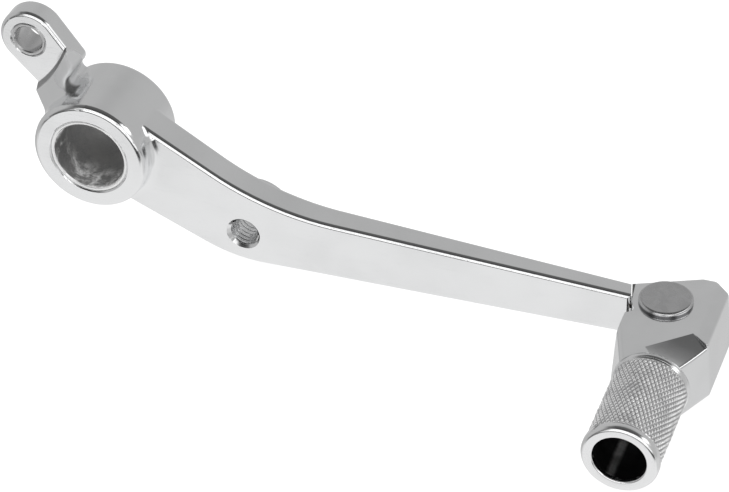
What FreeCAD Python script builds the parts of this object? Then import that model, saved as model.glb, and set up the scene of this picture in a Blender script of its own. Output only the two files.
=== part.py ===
# Gear shift lever with a folding, knurled toe peg.
# Frame: origin at the middle of the pivot bore, +Y along the pivot away from the peg,
# +X from the pivot towards the toe, +Z up. Millimetres.
import FreeCAD, Part
import math
import os

V = FreeCAD.Vector

# ---- pivot hub ----
HUB_R = 14.4
HUB_LENGTH = 20.5
PIVOT_BUSH_R = 10.0
PIVOT_BORE_R = 9.0
PIVOT_BUSH_LENGTH = 20.0
BUSH_CHAMFER = 0.3
FIT_GAP = 0.01          # radial gap left between a pressed bush and its seat
TINY = 1e-6             # tolerance when an edge is picked by its place
TOOL_REACH = 40.0       # cutting tools of the arm reach this far past it
EDGE_R = 1.0            # round on the forging's long edges
HUB_EDGE_R = 1.25
HUB_FACE = HUB_LENGTH / 2

# ---- arm, side view (X, Z) ----
ARM_OUTBOARD_Y = -4.8
ARM_END_X = 133.2
SEAM_LEAN = 1.3         # the end face slants, so the toe can swing back but not forward
ARM_TOP_HUB = (14.87, 6.3)
ARM_TOP_HUB_SLOPE = -0.578
ARM_TOP_END_Z = -13.8
ARM_TOP_SLOPE = -0.041
ARM_TOP_BEND_R = 67.0
ARM_BOTTOM_HUB = (7.55, -14.7)
ARM_BOTTOM_HUB_SLOPE = -0.443
ARM_BOTTOM_END_Z = -25.0
ARM_BOTTOM_SLOPE = 0.0135
ARM_BOTTOM_BEND_R = 36.0
ARM_ROOT_TOP_X = 8.0
ARM_ROOT_BOTTOM_X = 4.0
# inboard face of the arm, plan view: a plane that thins the arm towards the toe
ARM_INBOARD_ROOT = (0.0, 4.2)
ARM_INBOARD_END_Y = 0.2
ARM_ROOT_FILLET = 2.0
ARM_END_CORNER_R = 1.0  # lets the folding toe pass the arm's outboard end corner
LONG_EDGE = 8.0         # edges longer than this run along the arm
SEAM_INBOARD_X = ARM_END_X - SEAM_LEAN

# ---- threaded boss for the linkage rod ----
ROD_X = 36.75
ROD_Z = -18.2
ROD_BOSS_R = 8.6
ROD_BOSS_Y = 7.2
ROD_MAJOR_R = 4.0
ROD_PITCH = 1.25
ROD_MINOR_R = 3.45
ROD_GROOVE_MOUTH = 0.44  # share of the pitch that the groove takes at the minor radius
ROD_GROOVE_ROOT = 0.16   # and at the major radius
ROD_GROOVE_OVERLAP = 0.05   # the groove's tool starts this far inside the hole's wall
ROD_MOUTH_R = 4.3

# ---- linkage ear: measured along and across its own centre line ----
EAR_ANGLE = 131.7       # degrees from +X towards +Z
EAR_HOLE_AT = 29.2
EAR_TIP_R = 7.5
EAR_OUTBOARD_Y = 2.25
EAR_INBOARD_Y = 8.4
EAR_BUSH_R = 4.5
EAR_BORE_R = 3.5
EAR_EDGE_R = 1.0
EAR_ROOT_AT = 11.5
EAR_ROOT_LOW = 6.9
EAR_TAPER = 0.1         # the ear's upper side closes in by this much per mm towards the hub
EAR_BUSH_CHAMFER = 0.25
LINKAGE_BUSH_PROUD = 1.6  # the ear's bush stands out of the inboard side

# ---- neck between ear and hub ----
NOTCH_R = 1.5           # groove along the pivot between the neck's upper side and the hub
NOTCH_ACROSS = -4.6
SHOULDER_R = 1.8
STEP_AT = (20.4, -1.0)  # middle of the step between the ear's flat and the neck
STEP_SKEW = 14.7        # degrees; the step is not square to the ear's centre line
STEP_CURVE_R = 32.0
STEP_WALL_LEAN = 0.35
NECK_NOSE = (20.8, 0.2)     # (distance from the pivot, y) down the neck's front slope
NECK_WAIST = (16.6, -2.3)
NECK_VALLEY = (15.1, -3.5)
NECK_FOOT = (14.45, -5.4)
NECK_NOSE_R = 0.4
TOOL_SEAM_TURN = 90.0   # keeps the seam of a turned surface off the neck
NECK_UPPER_R = 0.6
NECK_LOWER_R = 1.0

# ---- hinge of the folding toe ----
PIN_X = 141.27
PIN_Y = -4.13
PIN_R = 4.0
PIN_HEAD_R = 6.35
PIN_HEAD_H = 1.3
PIN_HEAD_BEVEL = 0.6
HINGE_BUSH_R = 5.0
RUNNING_GAP = 0.03
FOLD_ANGLE = 35.0
EYE_R = 7.7
TONGUE_INSET = 0.3      # the tongue is this much thinner than the arm, on each side
TONGUE_ROOT = 1.7       # how far the tongue's bar reaches into the arm
SPRING_LEG_DEPTH = 2.0
LEG_CLEARANCE = 0.1     # radial gap round the spring's legs
UPPER_LEG_DEPTH = 1.4   # the upper leg reaches this far into the block
UPPER_LEG_HOLE = 1.8
LOWER_LEG = 1.9         # the lower leg reaches this far below the coil's first turn
COIL_FLOOR_GAP = 0.2
TONGUE_TOP_Z = -17.5
TONGUE_BOTTOM_Z = -24.9
WASHER_T = 0.5
WASHER_GAP = 0.05
WASHER_R = 7.0
WASHER_HOLE_GAP = 0.15  # radial gap round the pin and round the spring's leg
SPRING_POCKET_R = 6.4
SPRING_POCKET_DEPTH = 4.6
SPRING_WIRE_R = 0.6
SPRING_MEAN_R = 5.3
SPRING_PITCH = 1.35
SPRING_TURNS = 2.25

# ---- toe block ----
BLOCK_TOP_Z = -13.8
BLOCK_BOTTOM_Z = -29.7
BLOCK_FRONT_Y = -28.2
BLOCK_FLARE = 1.1       # how much wider the block's foot is than its top
BLOCK_EDGE_R = 1.2
BLOCK_BACK_R = 2.0
BLOCK_WING = (133.4, -17.7)     # corner of the outboard wing, at the block's top
BLOCK_FRONT_X = (136.9, 148.4)
BLOCK_NOSE_X = 154.3
BLOCK_NOSE_Y = (-15.6, 3.6)
BLOCK_BACK_X = (150.6, 147.2)
BLOCK_BACK_Y = 7.3
BLOCK_TOOL = 15.4       # size of the tools that trim the block
SEAM_GAP = 0.12
SEAM_OVERLAP = 0.6      # the seam's ends run past the arm's corners
SHADE_X = 151.2         # the block's top falls away gently outside this line
SHADE_TILT = 8.0
FACET_START = (141.0, -21.5)
FACET_END = (150.1, -13.55)
FACET_CORNER = (153.7, -15.9)
FACET_TILT_START = 5.0
FACET_TILT_END = 17.0
FACET_EDGE_R = 0.8
FACET_RUN_ON = 6.0      # the twist goes on past the facet's end
SLOT_R = 8.2
SLOT_FRONT = 8.6        # slot reaches this far outboard of the pin
SLOT_TOP_Z = TONGUE_TOP_Z + WASHER_T + 2 * WASHER_GAP
SLOT_BOTTOM_Z = TONGUE_BOTTOM_Z - WASHER_T - 2 * WASHER_GAP
SLOT_LEFT_X = ARM_END_X - 8.0
SLOT_BACK_Y = 12.0
SLOT_SPLAY = 1.0
FOLD_GAP = 0.3
FOLD_RELIEF_WIDTH = 3.0

# ---- toe peg ----
PEG_X = 144.55
PEG_Z = -18.65
PEG_R = 8.95
PEG_BORE_R = 6.15
PEG_END_Y = -55.3
PEG_FLOOR_T = 4.5
PEG_LIP_R = 1.05
PEG_SEAT_BACK = 4.0     # cone that backs the peg's rim
PEG_SPIGOT_R = 5.0
PEG_SPIGOT_L = 2.5
SCREW_R = 3.0
SCREW_LENGTH = 18.0
SCREW_HEAD_R = 5.0
SCREW_HEAD_H = 6.0
SCREW_HEX_AF = 5.0
SCREW_HEX_DEPTH = 3.0
SCREW_HEAD_EDGE_R = 0.5
SCREW_TIP_CHAMFER = 0.6
SCREW_PASS_GAP = 0.2    # radial gap round the screw in the peg's floor
SCREW_END_GAP = 1.0
PEG_HOLE_GAP = 0.05     # radial gap round the spigot, and round the screw in the block
SPIGOT_END_GAP = 0.2
SPRING_WASHER_T = 1.5
SPRING_WASHER_GAP = 0.15
WASHER_SPLIT = 0.8
WASHER_SPLIT_TURN = 25.0

# ---- pin retention under the toe block ----
PIN_WASHER_R = 7.0
PIN_WASHER_T = 1.0
PIN_WASHER_GAP = 0.1
CLIP_T = 1.0
CLIP_R = 6.4
CLIP_GROOVE_R = 3.2
CLIP_GAP = 0.05         # radial gap between the clip's lugs and the groove's floor
CLIP_SIDE_GAP = 0.1
CLIP_MOUTH = 5.8
CLIP_BAY_R = 1.5        # round bays between the clip's lugs
CLIP_BAY_AT = 4.0
CLIP_BAY_ANGLES = (125, 235)
PIN_TAIL = 1.2
PIN_TAIL_CHAMFER = 0.5


def cylinder_y(radius, y0, y1, x=0.0, z=0.0):
    return Part.makeCylinder(radius, y1 - y0, V(x, y0, z), V(0, 1, 0))


def cylinder_z(radius, z0, z1, x=PIN_X, y=PIN_Y):
    return Part.makeCylinder(radius, z1 - z0, V(x, y, z0), V(0, 0, 1))


def prism_z(points, z0, z1):
    corners = [V(x, y, z0) for x, y in points]
    return Part.Face(Part.makePolygon(corners + corners[:1])).extrude(V(0, 0, z1 - z0))


def ring(outer, inner, centre, axis, length):
    body = Part.makeCylinder(outer, length, centre, axis)
    return body.cut(Part.makeCylinder(inner, length, centre, axis))


def round_edges(solid, radius, wanted):
    return solid.makeFillet(radius, [e for e in solid.Edges if wanted(e)])


def point_on_line(start, slope, x):
    return (x, start[1] + slope * (x - start[0]))


def bend(line_a, line_b, radius):
    """Tangent points and mid point of an arc of the radius between two (point, slope) lines."""
    (a, slope_a), (b, slope_b) = line_a, line_b
    x = (b[1] - a[1] + slope_a * a[0] - slope_b * b[0]) / (slope_a - slope_b)
    corner = V(x, 0, point_on_line(a, slope_a, x)[1])
    back = V(-1, 0, -slope_a).normalize()
    forward = V(1, 0, slope_b).normalize()
    half = (math.pi - back.getAngle(forward)) / 2
    tangent = radius * math.tan(half)
    bisector = (back + forward).normalize()
    middle = corner + bisector * (radius / math.cos(half) - radius)
    return corner + back * tangent, middle, corner + forward * tangent


def arm_side_outline():
    """Closed side outline of the arm, from inside the hub to the toe end."""
    top_end = (ARM_END_X, ARM_TOP_END_Z)
    bottom_end = (ARM_END_X, ARM_BOTTOM_END_Z)
    t0, t1, t2 = bend((ARM_TOP_HUB, ARM_TOP_HUB_SLOPE), (top_end, ARM_TOP_SLOPE), ARM_TOP_BEND_R)
    b0, b1, b2 = bend((ARM_BOTTOM_HUB, ARM_BOTTOM_HUB_SLOPE),
                      (bottom_end, ARM_BOTTOM_SLOPE), ARM_BOTTOM_BEND_R)
    root_top_x, root_top_z = point_on_line(ARM_TOP_HUB, ARM_TOP_HUB_SLOPE, ARM_ROOT_TOP_X)
    root_low_x, root_low_z = point_on_line(ARM_BOTTOM_HUB, ARM_BOTTOM_HUB_SLOPE, ARM_ROOT_BOTTOM_X)
    root_top = V(root_top_x, 0, root_top_z)
    root_low = V(root_low_x, 0, root_low_z)
    end_top = V(ARM_END_X, 0, ARM_TOP_END_Z)
    end_low = V(ARM_END_X, 0, ARM_BOTTOM_END_Z)
    edges = [Part.makeLine(root_top, t0), Part.Arc(t0, t1, t2).toShape(), Part.makeLine(t2, end_top),
             Part.makeLine(end_top, end_low), Part.makeLine(end_low, b2),
             Part.Arc(b2, b1, b0).toShape(), Part.makeLine(b0, root_low),
             Part.makeLine(root_low, root_top)]
    return Part.Wire(edges)


def inboard_y(x):
    share = (x - ARM_INBOARD_ROOT[0]) / (ARM_END_X - ARM_INBOARD_ROOT[0])
    return ARM_INBOARD_ROOT[1] + share * (ARM_INBOARD_END_Y - ARM_INBOARD_ROOT[1])


def arm_plan_with_corner():
    """Plan of the whole arm: wider than the arm inboard, with the outboard end corner rounded."""
    back = ARM_INBOARD_ROOT[1] + 1
    plan = prism_z([(0, ARM_OUTBOARD_Y), (ARM_END_X, ARM_OUTBOARD_Y), (SEAM_INBOARD_X, back),
                    (0, back)], -TOOL_REACH, TOOL_REACH)
    return round_edges(plan, ARM_END_CORNER_R, lambda e: e.BoundBox.ZLength > TOOL_REACH
                       and e.BoundBox.XMin > ARM_END_X - TINY)


def arm_beam():
    side = Part.Face(arm_side_outline()).extrude(V(0, 2 * HUB_LENGTH, 0))
    side.translate(V(0, -HUB_LENGTH, 0))
    plan = prism_z([(0, ARM_OUTBOARD_Y), (ARM_END_X, ARM_OUTBOARD_Y),
                    (SEAM_INBOARD_X, ARM_INBOARD_END_Y), (0, inboard_y(0))],
                   -TOOL_REACH, TOOL_REACH)
    beam = side.common(plan)

    def long_edge(edge):
        box = edge.BoundBox
        return box.XLength > LONG_EDGE and box.ZLength < box.XLength
    beam = round_edges(beam, EDGE_R, long_edge)
    return beam.common(arm_plan_with_corner())


def tongue():
    eye = cylinder_z(EYE_R, TONGUE_BOTTOM_Z, TONGUE_TOP_Z)
    y0 = ARM_OUTBOARD_Y + TONGUE_INSET
    y1 = ARM_INBOARD_END_Y - TONGUE_INSET
    x0 = SEAM_INBOARD_X - TONGUE_ROOT
    bar = prism_z([(x0, y0), (PIN_X, y0), (PIN_X, y1), (x0, y1)], TONGUE_BOTTOM_Z, TONGUE_TOP_Z)
    return eye.fuse(bar)


def on_circle(centre, radius, degrees):
    angle = math.radians(degrees)
    return centre + V(radius * math.cos(angle), 0, radius * math.sin(angle))


def ear_outline():
    """Ear and neck seen along the pivot: x runs outwards from the pivot, z across."""
    tip = V(EAR_HOLE_AT + EAR_TIP_R, 0, 0)
    upper = V(EAR_HOLE_AT, 0, -EAR_TIP_R)
    lower = V(EAR_HOLE_AT, 0, EAR_TIP_R)
    root_low = V(EAR_ROOT_AT, 0, EAR_ROOT_LOW)
    reach = HUB_R + NOTCH_R
    notch = V(math.sqrt(reach ** 2 - NOTCH_ACROSS ** 2), 0, NOTCH_ACROSS)
    notch_end = 180 + math.degrees(math.atan2(notch.z, notch.x))
    shoulder = notch + V(NOTCH_R + SHOULDER_R, 0, 0)
    shoulder_end = 270 - math.degrees(math.atan(EAR_TAPER))
    meets_wall = on_circle(shoulder, SHOULDER_R, shoulder_end)
    meets_hub_wall = on_circle(notch, NOTCH_R, notch_end)
    root_up = V(EAR_ROOT_AT, 0, meets_hub_wall.z)
    edges = [Part.Arc(upper, tip, lower).toShape(), Part.makeLine(lower, root_low),
             Part.makeLine(root_low, root_up), Part.makeLine(root_up, meets_hub_wall),
             Part.Arc(meets_hub_wall, on_circle(notch, NOTCH_R, notch_end / 2),
                      on_circle(notch, NOTCH_R, 0)).toShape(),
             Part.Arc(on_circle(shoulder, SHOULDER_R, 180),
                      on_circle(shoulder, SHOULDER_R, (180 + shoulder_end) / 2),
                      meets_wall).toShape(), Part.makeLine(meets_wall, upper)]
    return Part.Wire(edges)


def turned_tool(profile, centre):
    """Solid of revolution about a line along the pivot, for an (x, y) wire."""
    tool = Part.Face(profile).revolve(V(0, 0, 0), V(0, 1, 0), 360)
    tool.rotate(V(0, 0, 0), V(0, 1, 0), TOOL_SEAM_TURN)
    tool.translate(centre)
    return tool


def step_tool():
    """Everything on the ear's side of the curved, leaning step."""
    skew = math.radians(STEP_SKEW)
    centre = V(STEP_AT[0] + STEP_CURVE_R * math.cos(skew), 0,
               STEP_AT[1] + STEP_CURVE_R * math.sin(skew))
    back = EAR_INBOARD_Y + 1
    depth = EAR_OUTBOARD_Y + HUB_FACE
    corners = [V(0, back, 0), V(STEP_CURVE_R, back, 0), V(STEP_CURVE_R, EAR_OUTBOARD_Y, 0),
               V(STEP_CURVE_R + STEP_WALL_LEAN * depth, -HUB_FACE, 0), V(0, -HUB_FACE, 0)]
    return turned_tool(Part.makePolygon(corners + corners[:1]), centre)


def slope_tool():
    """What is cut away in front of the neck's slope, with a hollow curve down to the hub."""
    nose, waist, valley, foot = [V(x, y, 0) for x, y in
                                 (NECK_NOSE, NECK_WAIST, NECK_VALLEY, NECK_FOOT)]
    run = (nose - waist).normalize()
    far = nose + run * 3 * EAR_TIP_R
    front_far = V(far.x, -2 * HUB_FACE, 0)
    front_near = V(foot.x, -2 * HUB_FACE, 0)
    profile = Part.Wire([Part.makeLine(far, waist), Part.Arc(waist, valley, foot).toShape(),
                         Part.makeLine(foot, front_near), Part.makeLine(front_near, front_far),
                         Part.makeLine(front_far, far)])
    return turned_tool(profile, V(0, 0, 0))


def ear_prism(outboard_y):
    """Plate of the ear's outline from the given side to the inboard side, with rounded rims."""
    outline = Part.Face(ear_outline())
    plate = outline.extrude(V(0, EAR_INBOARD_Y - outboard_y, 0))
    plate.translate(V(0, outboard_y, 0))
    return round_edges(plate, EAR_EDGE_R, lambda e: e.BoundBox.YLength < TINY
                       and e.BoundBox.XMax > EAR_ROOT_AT + 0.1
                       and e.BoundBox.YMin > EAR_OUTBOARD_Y - TINY)


def neck():
    """Thick root of the ear, from the step to inside the hub, with its front edges rounded."""
    solid = ear_prism(HUB_EDGE_R - HUB_FACE).cut([slope_tool(), step_tool()])

    def slope_rim(edge):
        box = edge.BoundBox
        return (box.YMax < EAR_OUTBOARD_Y - 0.3 and box.YMin > NECK_FOOT[1] - 0.1
                and box.XMax > NECK_VALLEY[0] - 0.1 and box.XLength > 0.2)

    def upper_side(edge):
        return slope_rim(edge) and edge.BoundBox.ZMax < NOTCH_ACROSS + NOTCH_R + 0.1

    def lower_side(edge):
        return slope_rim(edge) and edge.BoundBox.ZMin > EAR_ROOT_LOW - 0.5

    def nose(edge):
        return slope_rim(edge) and edge.BoundBox.ZLength > EAR_TIP_R and edge.BoundBox.XMin > HUB_R + 3
    solid = round_edges(solid, NECK_UPPER_R, upper_side)
    solid = round_edges(solid, NECK_LOWER_R, lower_side)
    return round_edges(solid, NECK_NOSE_R, nose)


def ear_and_neck():
    solid = ear_prism(EAR_OUTBOARD_Y).fuse(neck())
    solid.rotate(V(0, 0, 0), V(0, 1, 0), -EAR_ANGLE)
    return solid


def ear_point(along, y):
    angle = math.radians(EAR_ANGLE)
    return V(along * math.cos(angle), y, along * math.sin(angle))


def meets_hub(edge):
    """True for an edge that lies on the hub's round wall but is not one of its end circles."""
    points = edge.discretize(5)
    on_wall = all(abs(math.hypot(p.x, p.z) - HUB_R) < 0.02 for p in points)
    return on_wall and max(abs(p.y) for p in points) < HUB_FACE - HUB_EDGE_R - 0.1


def thread_grooves():
    """Helical groove of the rod thread, cut from the minor diameter outwards."""
    length = ROD_BOSS_Y - ARM_OUTBOARD_Y - ROD_PITCH
    depth = ROD_MAJOR_R - ROD_MINOR_R
    helix = Part.makeHelix(ROD_PITCH, length, ROD_MINOR_R)
    half_mouth = ROD_PITCH * ROD_GROOVE_MOUTH / 2
    half_root = ROD_PITCH * ROD_GROOVE_ROOT / 2
    inner = ROD_MINOR_R - ROD_GROOVE_OVERLAP
    outer = ROD_MINOR_R + depth
    corners = [V(inner, 0, -half_mouth), V(outer, 0, -half_root),
               V(outer, 0, half_root), V(inner, 0, half_mouth)]
    profile = Part.makePolygon(corners + corners[:1])
    groove = Part.Wire(helix.Edges).makePipeShell([profile], True, True)
    groove.rotate(V(0, 0, 0), V(1, 0, 0), -90)
    groove.translate(V(ROD_X, ARM_OUTBOARD_Y + ROD_PITCH / 2, ROD_Z))
    return groove


def rod_hole():
    y0 = ARM_OUTBOARD_Y
    y1 = ROD_BOSS_Y
    mouth = ROD_MOUTH_R - ROD_MINOR_R
    hole = cylinder_y(ROD_MINOR_R, y0 - 1, y1 + 1, ROD_X, ROD_Z)
    near = Part.makeCone(ROD_MOUTH_R, ROD_MINOR_R, mouth, V(ROD_X, y0, ROD_Z), V(0, 1, 0))
    far = Part.makeCone(ROD_MOUTH_R, ROD_MINOR_R, mouth, V(ROD_X, y1, ROD_Z), V(0, -1, 0))
    return hole.fuse([near, far])


def bush_seat(radius, start, end, chamfer):
    """Seat of a bush between two faces, with a chamfer at each mouth."""
    length = (end - start).Length
    wide = radius + chamfer
    seat = Part.makeCylinder(radius, length, start, V(0, 1, 0))
    near = Part.makeCone(wide, radius, chamfer, start, V(0, 1, 0))
    far = Part.makeCone(wide, radius, chamfer, end, V(0, -1, 0))
    return seat.fuse([near, far])


def lever_arm():
    hub = cylinder_y(HUB_R, -HUB_FACE, HUB_FACE)
    hub = round_edges(hub, HUB_EDGE_R, lambda e: e.BoundBox.YLength < TINY)
    boss = cylinder_y(ROD_BOSS_R, 0, ROD_BOSS_Y, ROD_X, ROD_Z)
    boss = round_edges(boss, EDGE_R, lambda e: e.BoundBox.YMin > ROD_BOSS_Y - TINY)
    solid = hub.fuse(arm_beam())
    solid = round_edges(solid, ARM_ROOT_FILLET, meets_hub)
    solid = solid.fuse([boss, ear_and_neck(), tongue()]).removeSplitter()
    solid = solid.cut(bush_seat(PIVOT_BUSH_R, V(0, -HUB_FACE, 0), V(0, HUB_FACE, 0), BUSH_CHAMFER))
    ear_seat = bush_seat(EAR_BUSH_R, ear_point(EAR_HOLE_AT, EAR_OUTBOARD_Y),
                         ear_point(EAR_HOLE_AT, EAR_INBOARD_Y), EAR_BUSH_CHAMFER)
    pocket = cylinder_z(SPRING_POCKET_R, TONGUE_TOP_Z - SPRING_POCKET_DEPTH, TONGUE_TOP_Z)
    seat = cylinder_z(HINGE_BUSH_R, TONGUE_BOTTOM_Z - 1, TONGUE_TOP_Z)
    leg = cylinder_z(SPRING_WIRE_R + LEG_CLEARANCE,
                     TONGUE_TOP_Z - SPRING_POCKET_DEPTH - SPRING_LEG_DEPTH, TONGUE_TOP_Z,
                     PIN_X - SPRING_MEAN_R, PIN_Y)
    solid = solid.cut([ear_seat, pocket, seat, leg, rod_hole()])
    return solid.cut(thread_grooves())


def pivot_bush():
    half = PIVOT_BUSH_LENGTH / 2
    bush = ring(PIVOT_BUSH_R - FIT_GAP, PIVOT_BORE_R, V(0, -half, 0), V(0, 1, 0), 2 * half)
    return bush.makeChamfer(BUSH_CHAMFER, [e for e in bush.Edges if e.BoundBox.YLength < TINY])


def linkage_bush():
    length = EAR_INBOARD_Y - EAR_OUTBOARD_Y + LINKAGE_BUSH_PROUD
    bush = ring(EAR_BUSH_R - FIT_GAP, EAR_BORE_R, ear_point(EAR_HOLE_AT, EAR_OUTBOARD_Y),
                V(0, 1, 0), length)
    return bush.makeChamfer(EAR_BUSH_CHAMFER, [e for e in bush.Edges if e.BoundBox.YLength < TINY])


def hinge_bush():
    top = TONGUE_TOP_Z - SPRING_POCKET_DEPTH
    return ring(HINGE_BUSH_R - FIT_GAP, PIN_R + RUNNING_GAP, V(PIN_X, PIN_Y, TONGUE_BOTTOM_Z),
                V(0, 0, 1), top - TONGUE_BOTTOM_Z)


def block_outline(z, flare):
    """Plan outline of the toe block at one height, anticlockwise from the seam's inboard end."""
    seam_in = (SEAM_INBOARD_X + SEAM_GAP, SEAM_OVERLAP)
    seam_out = (ARM_END_X + SEAM_GAP, ARM_OUTBOARD_Y + SEAM_OVERLAP)
    # corner at the block's top, and how much of the flare it takes along X and Y
    free = [(BLOCK_WING, (-1.0, 0)),
            ((BLOCK_FRONT_X[0], BLOCK_FRONT_Y), (-0.8, 0)),
            ((BLOCK_FRONT_X[1], BLOCK_FRONT_Y), (0.8, 0)),
            ((BLOCK_NOSE_X, BLOCK_NOSE_Y[0]), (1.0, 0)),
            ((BLOCK_NOSE_X, BLOCK_NOSE_Y[1]), (1.0, 0.5)),
            ((BLOCK_BACK_X[0], BLOCK_BACK_Y), (0.5, 0.8)),
            ((BLOCK_BACK_X[1], BLOCK_BACK_Y), (0, 0.8))]
    points = [seam_in, seam_out]
    points += [(x + dx * flare, y + dy * flare) for (x, y), (dx, dy) in free]
    corners = [V(x, y, z) for x, y in points]
    return Part.makePolygon(corners + corners[:1])


def fold_relief():
    """Where the arm's end passes while the toe swings back through its whole travel."""
    low = SLOT_BOTTOM_Z
    high = BLOCK_TOP_Z + 1
    x0 = PIN_X - TOOL_REACH
    corner = V(ARM_END_X - ARM_END_CORNER_R, ARM_OUTBOARD_Y + ARM_END_CORNER_R, low)
    beam = prism_z([(x0, ARM_OUTBOARD_Y - FOLD_GAP), (corner.x, ARM_OUTBOARD_Y - FOLD_GAP),
                    (corner.x, corner.y + FOLD_RELIEF_WIDTH), (x0, corner.y + FOLD_RELIEF_WIDTH)],
                   low, high)
    nose = Part.makeCylinder(ARM_END_CORNER_R + FOLD_GAP, high - low, corner)
    end = beam.fuse(nose)
    end.rotate(V(PIN_X, PIN_Y, 0), V(0, 0, 1), FOLD_ANGLE)
    reach = corner.sub(V(PIN_X, PIN_Y, low))
    start = math.degrees(math.atan2(reach.y, reach.x))
    swept = Part.makeCylinder(reach.Length + ARM_END_CORNER_R, high - low, V(PIN_X, PIN_Y, low),
                              V(0, 0, 1), FOLD_ANGLE)
    swept.rotate(V(PIN_X, PIN_Y, 0), V(0, 0, 1), start)
    inner = reach.Length - ARM_END_CORNER_R - FOLD_GAP
    return end.fuse(swept.cut(cylinder_z(inner, low - 1, high + 1)))


def facet_tool():
    """Twisted cut above the block's front corner: its tilt grows along the facet's top line."""
    start = V(FACET_START[0], FACET_START[1], BLOCK_TOP_Z)
    end = V(FACET_END[0], FACET_END[1], BLOCK_TOP_Z)
    along = (end - start).normalize()
    down = V(along.y, -along.x, 0)
    length = (end - start).Length
    reach = BLOCK_TOOL
    over = V(0, 0, reach)

    def section(distance):
        tilt = FACET_TILT_START + (FACET_TILT_END - FACET_TILT_START) * distance / length
        base = start + along * distance
        low = base + down * reach - V(0, 0, reach * math.tan(math.radians(tilt)))
        corners = [base, low, low + over, base + over]
        return Part.makePolygon(corners + corners[:1])
    wedge = Part.makeLoft([section(0), section(length + FACET_RUN_ON)], True, True)
    corner = FACET_CORNER
    side = (corner[0] - FACET_END[0], corner[1] - FACET_END[1])
    plan = prism_z([FACET_START, FACET_END, (FACET_END[0] + 3 * side[0], FACET_END[1] + 3 * side[1]),
                    (corner[0] + reach, corner[1] - reach), (FACET_START[0], corner[1] - reach)],
                   BLOCK_TOP_Z - reach, BLOCK_TOP_Z + reach)
    return wedge.common(plan)


def toe_block():
    solid = Part.makeLoft([block_outline(BLOCK_BOTTOM_Z, BLOCK_FLARE), block_outline(BLOCK_TOP_Z, 0)],
                          True, True)
    solid = round_edges(solid, BLOCK_BACK_R, lambda e: e.BoundBox.ZLength > EYE_R
                        and e.BoundBox.XMin > PEG_X and e.BoundBox.YMin > 0)

    def rim(edge):
        box = edge.BoundBox
        flat = box.ZLength < TINY
        return flat and box.XMax > ARM_END_X + BLOCK_EDGE_R and box.YMin > BLOCK_FRONT_Y - 1
    solid = round_edges(solid, BLOCK_EDGE_R, rim)
    shade = Part.makeBox(BLOCK_TOOL, -3 * BLOCK_FRONT_Y, BLOCK_TOOL,
                         V(SHADE_X, 2 * BLOCK_FRONT_Y, BLOCK_TOP_Z))
    shade.rotate(V(SHADE_X, 0, BLOCK_TOP_Z), V(0, 1, 0), SHADE_TILT)
    solid = solid.cut(shade)
    slot = cylinder_z(SLOT_R, SLOT_BOTTOM_Z, SLOT_TOP_Z)
    mouth = prism_z([(SLOT_LEFT_X, PIN_Y - SLOT_FRONT), (PIN_X, PIN_Y - SLOT_FRONT),
                     (PIN_X + SLOT_SPLAY, SLOT_BACK_Y), (SLOT_LEFT_X, SLOT_BACK_Y)],
                    SLOT_BOTTOM_Z, SLOT_TOP_Z)
    seat = Part.makeCone(PEG_R - PEG_SEAT_BACK, PEG_R, PEG_SEAT_BACK,
                         V(PEG_X, BLOCK_FRONT_Y + PEG_SEAT_BACK, PEG_Z), V(0, -1, 0))
    solid = solid.cut(facet_tool()).fuse(seat)
    pin_hole = cylinder_z(PIN_R + FIT_GAP, BLOCK_BOTTOM_Z - 1, BLOCK_TOP_Z + 1)
    spigot = cylinder_y(PEG_SPIGOT_R + PEG_HOLE_GAP, BLOCK_FRONT_Y - 1,
                        BLOCK_FRONT_Y + PEG_SPIGOT_L + SPIGOT_END_GAP, PEG_X, PEG_Z)
    depth = SCREW_LENGTH + SCREW_END_GAP
    screw = cylinder_y(SCREW_R + PEG_HOLE_GAP, BLOCK_FRONT_Y - 1, BLOCK_FRONT_Y - PEG_FLOOR_T + depth,
                       PEG_X, PEG_Z)
    leg = cylinder_z(SPRING_WIRE_R + LEG_CLEARANCE, SLOT_TOP_Z - 1, SLOT_TOP_Z + UPPER_LEG_HOLE,
                     PIN_X, PIN_Y - SPRING_MEAN_R)
    solid = solid.cut([slot, mouth, pin_hole, spigot, screw, leg, fold_relief()])

    def facet_side(edge):
        box = edge.BoundBox
        return (box.ZMax < BLOCK_TOP_Z - 1 and box.ZMin > BLOCK_TOP_Z - 2 and box.YLength > BLOCK_TOOL / 2
                and box.XMin > PEG_X and box.XLength > 1)
    return round_edges(solid, FACET_EDGE_R, facet_side)


def toe_peg():
    body = cylinder_y(PEG_R, PEG_END_Y, BLOCK_FRONT_Y, PEG_X, PEG_Z)
    body = body.cut(cylinder_y(PEG_BORE_R, PEG_END_Y - 1, BLOCK_FRONT_Y - PEG_FLOOR_T, PEG_X, PEG_Z))
    body = round_edges(body, PEG_LIP_R, lambda e: e.BoundBox.YMax < PEG_END_Y + TINY)
    spigot = cylinder_y(PEG_SPIGOT_R, BLOCK_FRONT_Y, BLOCK_FRONT_Y + PEG_SPIGOT_L, PEG_X, PEG_Z)
    return body.fuse(spigot).removeSplitter().cut(
        cylinder_y(SCREW_R + SCREW_PASS_GAP, PEG_END_Y, BLOCK_FRONT_Y + 2 * PEG_SPIGOT_L, PEG_X, PEG_Z))


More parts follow.
